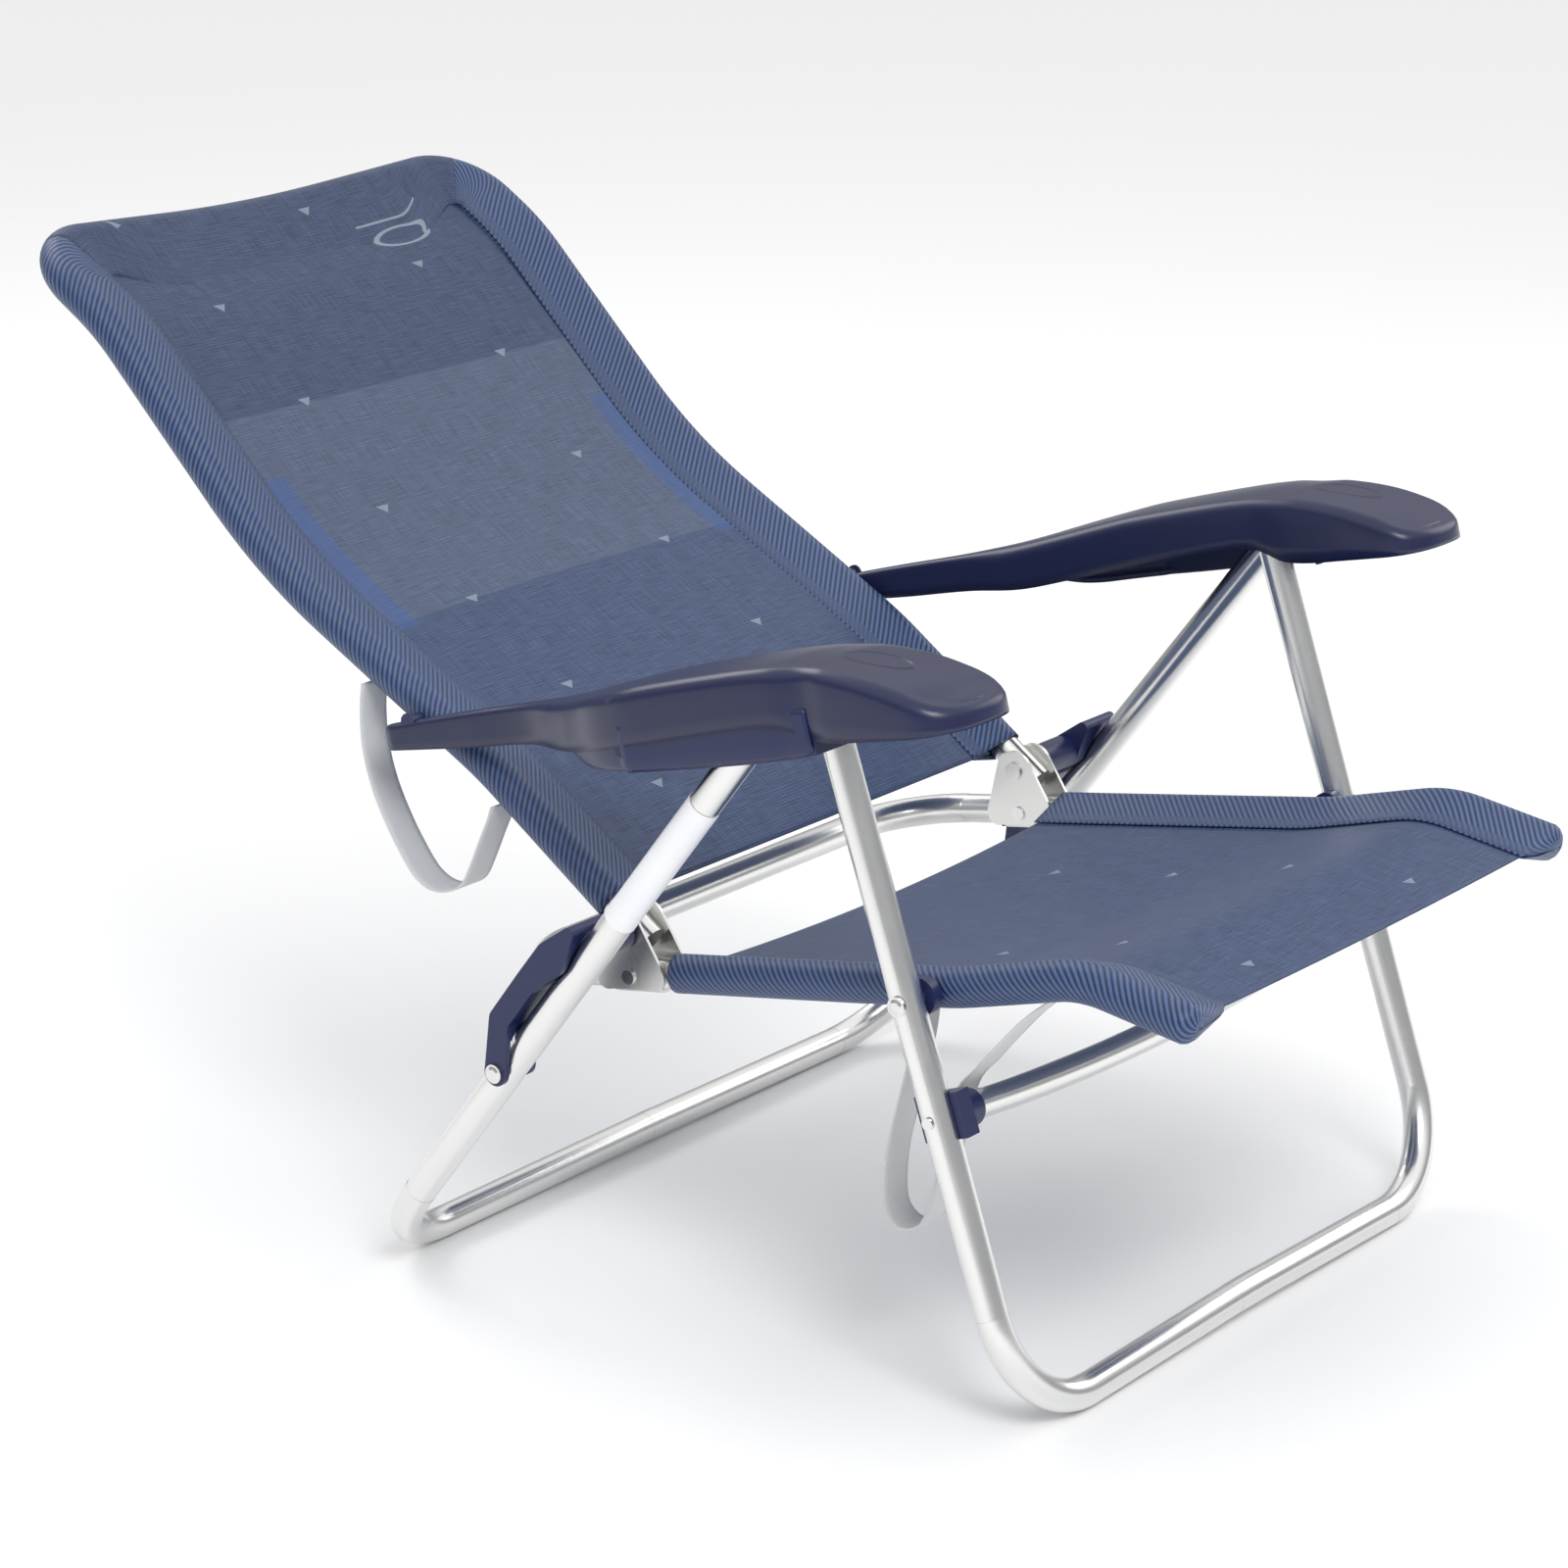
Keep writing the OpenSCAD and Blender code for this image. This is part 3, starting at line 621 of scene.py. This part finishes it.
def arm_value(k, u):
    """Column k of ARM_PLAN at the distance u along the arm."""
    return catmull([a[0] for a in ARM_PLAN], [a[k] for a in ARM_PLAN], u)


def armrest(name, sign, body, nodes):
    """Open-bottomed moulded shell: a skirt, a rounded edge and a crowned top."""
    u0, u1 = -24.0, 497.0
    us = [u0 + (u1 - u0) * i / 150 for i in range(151)]
    us = [u0 + 0.15, u0 + 0.8, u0 + 2.0] + us[2:-8] + [
        u1 - 26 * (1 - math.sin(math.radians(a))) for a in (8, 20, 32, 44, 56, 66, 75, 82, 87, 89.5)]
    inner, outer = [], []
    for u in us:
        xi, xo = arm_value(1, u), arm_value(2, u)
        mid, half = (xi + xo) / 2, (xo - xi) / 2
        end = 1.0
        if u > u1 - 30:
            q = (u - (u1 - 30)) / 30
            end = max(0.0, 1 - q ** 2.6) ** (1 / 2.6)
        if u < u0 + 5:
            q = (u0 + 5 - u) / 5
            end = max(0.0, 1 - q ** 2) ** 0.5
        inner.append((u, mid - half * end))
        outer.append((u, mid + half * end))
    outline = inner + outer[::-1]
    n = len(outline)
    pts = np.array(outline)
    nrm = []
    for i in range(n):
        d = pts[(i + 1) % n] - pts[i - 1]
        d = d / (np.linalg.norm(d) + 1e-9)
        nrm.append(np.array([-d[1], d[0]]))  # inwards for this winding
    nrm = np.array(nrm)
    centre = pts.mean(0)
    if sum(float((centre - p) @ q) for p, q in zip(pts, nrm)) < 0:
        nrm = -nrm
    levels = [("skirt", q) for q in (0, 0.35, 0.7, 1.0)]
    levels += [("edge", a) for a in (15, 30, 45, 60, 75, 90)]
    rings = []
    for kind, q in levels:
        ring = []
        for p, m in zip(pts, nrm):
            u, x = p
            uc = min(max(u, ARM_PLAN[0][0]), ARM_PLAN[-1][0])
            lo_z, hi_z = arm_value(3, uc), arm_value(4, uc)
            width = arm_value(2, uc) - arm_value(1, uc)
            rc = min(9.5, 0.30 * width, (hi_z - lo_z) * 0.48)
            if kind == "skirt":
                inset = 0.0
                z = lo_z + (hi_z - rc - lo_z) * q
            else:
                w = math.radians(q)
                inset = rc * (1 - math.cos(w))
                z = hi_z - rc + rc * math.sin(w)
            # the inset never crosses the middle of the piece
            mid_x = (arm_value(1, uc) + arm_value(2, uc)) / 2
            px = x + m[1] * inset
            pu = u + m[0] * inset
            if (x - mid_x) * (px - mid_x) < 0:
                px = mid_x
            ring.append((pu, px, z))
        rings.append(ring)
    half_n = len(inner)
    verts, uvc = [], []
    for ring in rings:
        for q in ring:
            verts.append(arm_point(sign, *q))
            uvc.append((q[0] / 1000, q[1] / 1000))
    faces = []
    for k in range(len(rings) - 1):
        for i in range(n):
            j = (i + 1) % n
            faces.append((k * n + i, k * n + j, (k + 1) * n + j, (k + 1) * n + i))
    # top: a ladder between the two sides of the last ring, crowned
    last = (len(rings) - 1) * n
    M = 10
    ladder = []
    for i in range(half_n):
        a, c = rings[-1][i], rings[-1][n - 1 - i]
        ids = [last + i]
        for k in range(1, M):
            w = k / M
            crown = 1.6 * (1 - (2 * w - 1) ** 2) * min(1.0, abs(c[1] - a[1]) / 50)
            q = (a[0] + (c[0] - a[0]) * w, a[1] + (c[1] - a[1]) * w, a[2] + (c[2] - a[2]) * w + crown)
            ids.append(len(verts))
            verts.append(arm_point(sign, *q))
            uvc.append((q[0] / 1000, q[1] / 1000))
        ids.append(last + n - 1 - i)
        ladder.append(ids)
    for i in range(half_n - 1):
        for k in range(M):
            faces.append((ladder[i][k], ladder[i][k + 1], ladder[i + 1][k + 1], ladder[i + 1][k]))
    mesh = bpy.data.meshes.new(name)
    mesh.from_pydata(verts, [], faces)
    layer = mesh.uv_layers.new(name="mm")
    layer.data.foreach_set("uv", [x for f in faces for q in f for x in uvc[q]])
    mesh.validate()
    bm = bmesh.new()
    bm.from_mesh(mesh)
    bmesh.ops.remove_doubles(bm, verts=bm.verts, dist=0.00002)
    bmesh.ops.recalc_face_normals(bm, faces=bm.faces)
    top = max(bm.faces, key=lambda f: f.calc_center_median().z)
    if top.normal.z < 0:
        bmesh.ops.reverse_faces(bm, faces=bm.faces)
    bm.to_mesh(mesh)
    bm.free()
    mesh.polygons.foreach_set("use_smooth", [True] * len(mesh.polygons))
    mesh.materials.append(ARM_SHELL)
    o = bpy.data.objects.new(name, mesh)
    bpy.context.scene.collection.objects.link(o)
    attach(o, body)
    s = thicken(o, 0.0024, -1.0)
    s.use_even_offset = False
    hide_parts(*nodes)


def arm_material():
    m, t, b = new_material("armrest_shell")
    g = Graph(t)
    _, u, x = cloth_uv(t)
    # the oval dish near the front of the arm
    du = g.math("DIVIDE", g.math("SUBTRACT", u, 0.424), 0.027)
    dx = g.math("DIVIDE", g.math("SUBTRACT", x, 0.276), 0.0135)
    d = g.math("SQRT", g.math("ADD", g.math("MULTIPLY", du, du), g.math("MULTIPLY", dx, dx)))
    bowl = t.nodes.new("ShaderNodeMapRange")
    bowl.interpolation_type = "SMOOTHSTEP"
    t.links.new(d, bowl.inputs[0])
    bowl.inputs[1].default_value = 0.80
    bowl.inputs[2].default_value = 1.0
    co = t.nodes.new("ShaderNodeTexCoord").outputs["Object"]
    grain = g.math("MULTIPLY", g.noise(co, 1400.0, 2.0), 0.012)
    h = g.math("ADD", bowl.outputs[0], grain)
    b.inputs["Base Color"].default_value = (0.011, 0.015, 0.058, 1)
    b.inputs["Roughness"].default_value = 0.30
    b.inputs["IOR"].default_value = 1.49
    t.links.new(g.bump(h, 0.0016, 1.0), b.inputs["Normal"])
    return m


def arm_point(sign, u, x, z):
    """A point of the arm frame (millimetres; u forward along the arm, z square to it) in the row frame."""
    a = ARM_ANGLE
    return (sign * x / 1000, ARM[0] - u / 1000 * math.cos(a) + z / 1000 * math.sin(a),
            ARM[1] + u / 1000 * math.sin(a) + z / 1000 * math.cos(a))


def rack_wall(name, sign, body):
    """Lower side wall of the rack housing, just inside the armrest's outer skirt."""
    rows, uvs = [], []
    lower_u = [158, 168, 182, 200, 290, 384, 391]
    lower_z = [-22, -27, -32, -34.5, -37, -36, -33]
    for i in range(61):
        u = lower_u[0] + (lower_u[-1] - lower_u[0]) * i / 60
        low_z = catmull(lower_u, lower_z, u)
        x = arm_value(2, u) - 2.6
        if u > 360:
            x = min(x, 315.4 - (u - 360) * 0.06)
        x = max(x, 313.9) if u > 238 else x
        row, uv = [], []
        for j in range(9):
            w = j / 8
            z = -6 + (low_z + 6) * w
            tuck = 2.2 * max(0.0, (w - 0.75) / 0.25) ** 2
            row.append(arm_point(sign, u, x - tuck, z))
            uv.append((u / 1000, z / 1000))
        rows.append(row)
        uvs.append(uv)
    o = grid_mesh(name, rows, uvs, NAVY, body)
    thicken(o, 0.0012)


ARM_SHELL = arm_material()
armrest("armrest_shell_right", -1, "arm_right", ("armrest_right", "armrest_inlay_right"))
armrest("armrest_shell_left", 1, "arm_left", ("armrest_left", "armrest_inlay_left"))
rack_wall("rack_wall_right", -1, "arm_right")
rack_wall("rack_wall_left", 1, "arm_left")

# ---------------------------------------------------------------- finishes of the CAD parts
FINISH = {
    "tube": ALU, "bracket": PLATE, "rivet": STEEL, "navy_plastic": NAVY, "armrest": ARM_NAVY,
    "inlay": ARM_NAVY, "sling": BACK, "webbing": WEB, "label": LABEL}
for part in frame["record"]["subparts"]:
    o = frame["nodes"][part["node"]]
    o.data.materials.clear()
    o.data.materials.append(NAVY if part["node"] == "arm_rivets" else FINISH[part["material_slot"]])


for name in ("seat_sleeve_right", "seat_sleeve_left"):
    o = bpy.data.objects[name]

# ---------------------------------------------------------------- floor, light, camera
def plain(name, colour, rough):
    m, _, b = new_material(name)
    b.inputs["Base Color"].default_value = (*colour, 1)
    b.inputs["Roughness"].default_value = rough
    return m


bpy.ops.mesh.primitive_plane_add(size=40, location=(0, 0, -0.0005))
floor = bpy.context.object
floor.name = "floor"
floor.data.materials.append(plain("pale_floor", (0.93, 0.93, 0.93), 0.85))

world = bpy.data.worlds.new("studio")
bpy.context.scene.world = world
world.use_nodes = True
sky = Graph(world.node_tree)
up = world.node_tree.nodes.new("ShaderNodeSeparateXYZ")
world.node_tree.links.new(world.node_tree.nodes.new("ShaderNodeTexCoord").outputs["Generated"], up.inputs[0])
high = sky.band(up.outputs[2], 0.42, 2.0, 0.30)
sky_colour = sky.mix(high, (0.36, 0.365, 0.38, 1), (1.15, 1.15, 1.15, 1))
world.node_tree.links.new(sky_colour, world.node_tree.nodes["Background"].inputs[0])
world.node_tree.nodes["Background"].inputs[1].default_value = 0.92


def area_light(name, location, target, size, power):
    d = bpy.data.lights.new(name, "AREA")
    d.shape = "RECTANGLE"
    d.size, d.size_y = size
    d.energy = power
    o = bpy.data.objects.new(name, d)
    o.location = location
    o.rotation_euler = (Vector(target) - Vector(location)).to_track_quat("-Z", "Y").to_euler()
    bpy.context.scene.collection.objects.link(o)


area_light("key", (-1.6, -2.2, 2.6), (0, 0, 0.3), (1.2, 1.2), 48)
area_light("fill", (2.6, -1.0, 1.6), (0, 0, 0.3), (1.6, 1.6), 14)
area_light("back", (0.4, 2.6, 2.4), (0, 0, 0.4), (1.8, 1.0), 20)

az, el = math.radians(-52.569), math.radians(17.116)
away = Vector((math.sin(az) * math.cos(el), -math.cos(az) * math.cos(el), math.sin(el)))
cam_data = bpy.data.cameras.new("camera")
cam_data.lens = 107.15
cam_data.sensor_width = 36
cam = bpy.data.objects.new("camera", cam_data)
cam.location = (-2.4763, -1.9099, 1.2570)
cam.rotation_mode = "QUATERNION"
cam.rotation_quaternion = (-away).to_track_quat("-Z", "Y")
cam_data.clip_start, cam_data.clip_end = 0.05, 100
bpy.context.scene.collection.objects.link(cam)
bpy.context.scene.camera = cam
bpy.context.scene.view_settings.view_transform = "Standard"
